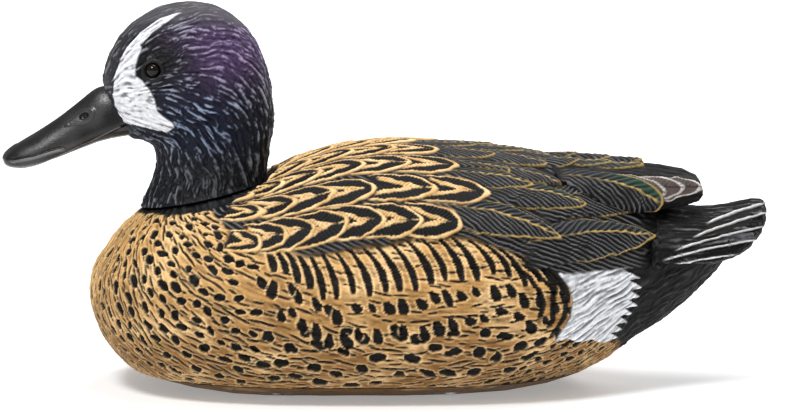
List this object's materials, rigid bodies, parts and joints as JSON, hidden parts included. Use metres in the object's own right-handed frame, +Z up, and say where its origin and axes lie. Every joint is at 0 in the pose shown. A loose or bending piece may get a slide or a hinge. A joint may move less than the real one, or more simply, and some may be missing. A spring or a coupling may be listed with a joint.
{
  "type": "floating duck decoy",
  "caption": "Floating duck decoy in feather-textured moulded plastic with a swivelling head, insert tail and wing tips, a recessed line-tie ring and a quarter-turn drain plug.",
  "frame": {"origin": "on the hull's flat underside, under the middle of the whole decoy's length and width", "axes": "-X towards the bill, +X towards the tail, +Y the decoy's right side, +Z up"},
  "size_m": [0.33, 0.1404, 0.1663],
  "materials": {
    "shell": "matte moulded, painted",
    "hull": "matte moulded",
    "tail": "matte moulded, painted",
    "wing": "matte moulded, painted",
    "head": "satin moulded, painted",
    "bill": "satin moulded, painted",
    "eye": "gloss",
    "foam": "closed-cell foam",
    "rubber": "matte",
    "nylon": "satin moulded",
    "stainless": "plain",
    "ballast": "cast"
  },
  "bodies": {
    "body": {"body_shell": "shell", "hull_pan": "hull", "hull_gasket": "rubber", "foam_core": "foam", "tail_fan": "tail", "ballast_bar": "ballast", "line_tie_strap": "stainless", "neck_bushing": "nylon", "neck_seal": "rubber", "ballast_screw_front": "stainless", "ballast_screw_rear": "stainless", "left_wing_tip": "wing", "right_wing_tip": "wing", "line_tie_screw_left": "stainless", "line_tie_screw_right": "stainless", "hull_screw_1": "stainless", "hull_screw_2": "stainless", "hull_screw_3": "stainless", "hull_screw_4": "stainless", "hull_screw_5": "stainless", "hull_screw_6": "stainless"},
    "head": {"head_shell": "head", "upper_bill": "bill", "lower_bill": "bill", "left_eye": "eye", "right_eye": "eye", "neck_plug": "nylon", "thrust_washer": "stainless", "spring_washer": "stainless", "lock_nut": "stainless"},
    "line_ring": {"line_ring": "stainless"},
    "drain_plug": {"drain_plug": "nylon", "drain_plug_seal": "rubber"}
  },
  "joints": [
    {"name": "head_swivel", "type": "hinge", "parent": "body", "child": "head", "pos_m": [-0.0785, 0, 0.083], "axis": [-0.2079, 0, 0.9781], "continuous": true},
    {"name": "line_ring_swing", "type": "hinge", "parent": "body", "child": "line_ring", "pos_m": [-0.05, 0, 0.0046], "axis": [0, -1, 0], "range_deg": [-11, 110]},
    {"name": "drain_plug_turn", "type": "hinge", "parent": "body", "child": "drain_plug", "pos_m": [0.05, 0, 0.003], "axis": [0, 0, 1], "range_deg": [0, 90]}
  ]
}
